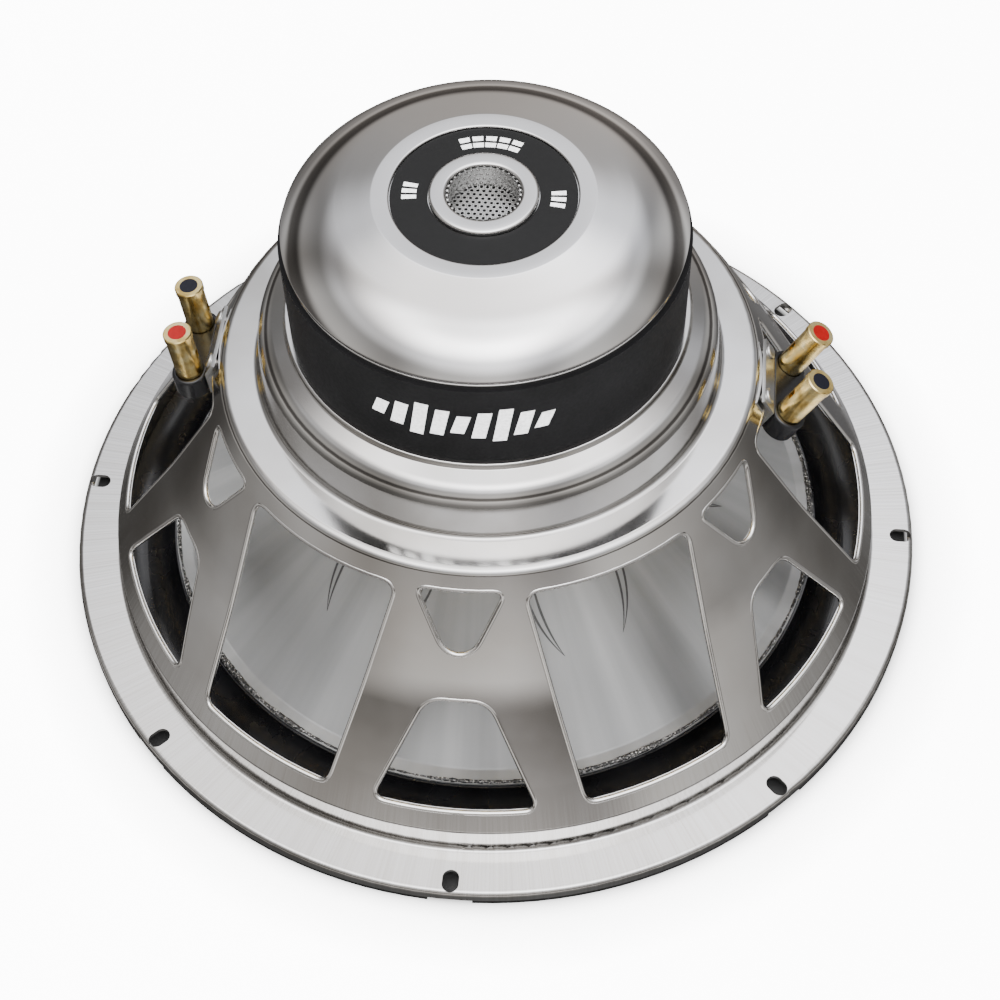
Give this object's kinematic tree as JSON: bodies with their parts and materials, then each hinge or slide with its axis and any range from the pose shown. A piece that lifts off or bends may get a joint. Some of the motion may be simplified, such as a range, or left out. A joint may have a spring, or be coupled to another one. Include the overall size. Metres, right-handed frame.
{
  "type": "car subwoofer",
  "caption": "Round car woofer seen from its motor side: chrome stamped basket, silver cone, black magnet boot, chrome vented cap, gold push terminals",
  "frame": {"origin": "on the driver's axis, on the plane of the front gasket's face that it rests on", "axes": "+Z is the driver's axis from the front gasket towards the motor cap; +X points to the right-hand terminal pair; +Y completes a right-handed frame"},
  "size_m": [0.311, 0.311, 0.174],
  "materials": {
    "chrome_steel": "bright chrome-plated stamped steel",
    "gasket_rubber": "matt black foam rubber",
    "surround_rubber": "black butyl rubber, satin",
    "spider_cloth": "resin-stiffened corrugated cloth",
    "copper_braid": "braided copper tinsel",
    "silver_paper": "silver-coated pressed paper",
    "former_aluminium": "rolled foil",
    "copper_wire": "enamelled copper wire",
    "plated_steel": "zinc-plated steel",
    "ferrite": "ground ceramic ferrite",
    "boot_rubber": "satin black rubber",
    "chrome_cap": "mirror chrome",
    "label_film": "gloss black film",
    "mesh_steel": "perforated steel",
    "black_plastic": "moulded black nylon",
    "gold_plate": "gold-plated brass",
    "red_insert": "red enamel",
    "black_insert": "black enamel",
    "spring_steel": "drawn wire",
    "tinned_brass": "tinned brass"
  },
  "bodies": {
    "frame": {"basket": "chrome_steel", "front_gasket": "gasket_rubber", "surround": "surround_rubber", "spider": "spider_cloth", "laced_leads": "copper_braid", "lead_tails": "copper_braid", "front_plate": "plated_steel", "plate_rivets": "plated_steel", "magnet": "ferrite", "pole_yoke": "plated_steel", "magnet_boot": "boot_rubber", "motor_cap": "chrome_cap", "label_ring": "label_film", "vent_collar": "chrome_cap", "vent_mesh": "mesh_steel", "bracket_rivets": "plated_steel", "terminal_block_left": "black_plastic", "terminal_bracket_left": "plated_steel", "block_screws_left": "plated_steel", "contact_post_left_red": "gold_plate", "return_spring_left_red": "spring_steel", "solder_tag_left_red": "tinned_brass", "contact_post_left_black": "gold_plate", "return_spring_left_black": "spring_steel", "solder_tag_left_black": "tinned_brass", "terminal_block_right": "black_plastic", "terminal_bracket_right": "plated_steel", "block_screws_right": "plated_steel", "contact_post_right_red": "gold_plate", "return_spring_right_red": "spring_steel", "solder_tag_right_red": "tinned_brass", "contact_post_right_black": "gold_plate", "return_spring_right_black": "spring_steel", "solder_tag_right_black": "tinned_brass"},
    "cone_assembly": {"cone": "silver_paper", "dust_cap": "silver_paper", "coil_former": "former_aluminium", "winding_inner": "copper_wire", "winding_outer": "copper_wire"},
    "push_left_red": {"barrel_left_red": "gold_plate", "barrel_insert_left_red": "red_insert"},
    "push_left_black": {"barrel_left_black": "gold_plate", "barrel_insert_left_black": "black_insert"},
    "push_right_red": {"barrel_right_red": "gold_plate", "barrel_insert_right_red": "red_insert"},
    "push_right_black": {"barrel_right_black": "gold_plate", "barrel_insert_right_black": "black_insert"}
  },
  "joints": [
    {"name": "cone_travel", "type": "slide", "parent": "frame", "child": "cone_assembly", "axis": [0, 0, -1], "range_m": [-0.005, 0.005], "stiffness_N_per_m": 3500, "deforming": ["surround", "spider", "laced_leads"]},
    {"name": "press_left_red", "type": "slide", "parent": "frame", "child": "push_left_red", "axis": [0.0698, 0, -0.9976], "range_m": [0, 0.003], "stiffness_N_per_m": 1500, "springref_m": -0.0015, "deforming": ["return_spring_left_red"]},
    {"name": "press_left_black", "type": "slide", "parent": "frame", "child": "push_left_black", "axis": [0.0698, 0, -0.9976], "range_m": [0, 0.003], "stiffness_N_per_m": 1500, "springref_m": -0.0015, "deforming": ["return_spring_left_black"]},
    {"name": "press_right_red", "type": "slide", "parent": "frame", "child": "push_right_red", "axis": [-0.4384, 0, -0.8988], "range_m": [0, 0.003], "stiffness_N_per_m": 1500, "springref_m": -0.0015, "deforming": ["return_spring_right_red"]},
    {"name": "press_right_black", "type": "slide", "parent": "frame", "child": "push_right_black", "axis": [-0.4384, 0, -0.8988], "range_m": [0, 0.003], "stiffness_N_per_m": 1500, "springref_m": -0.0015, "deforming": ["return_spring_right_black"]}
  ]
}
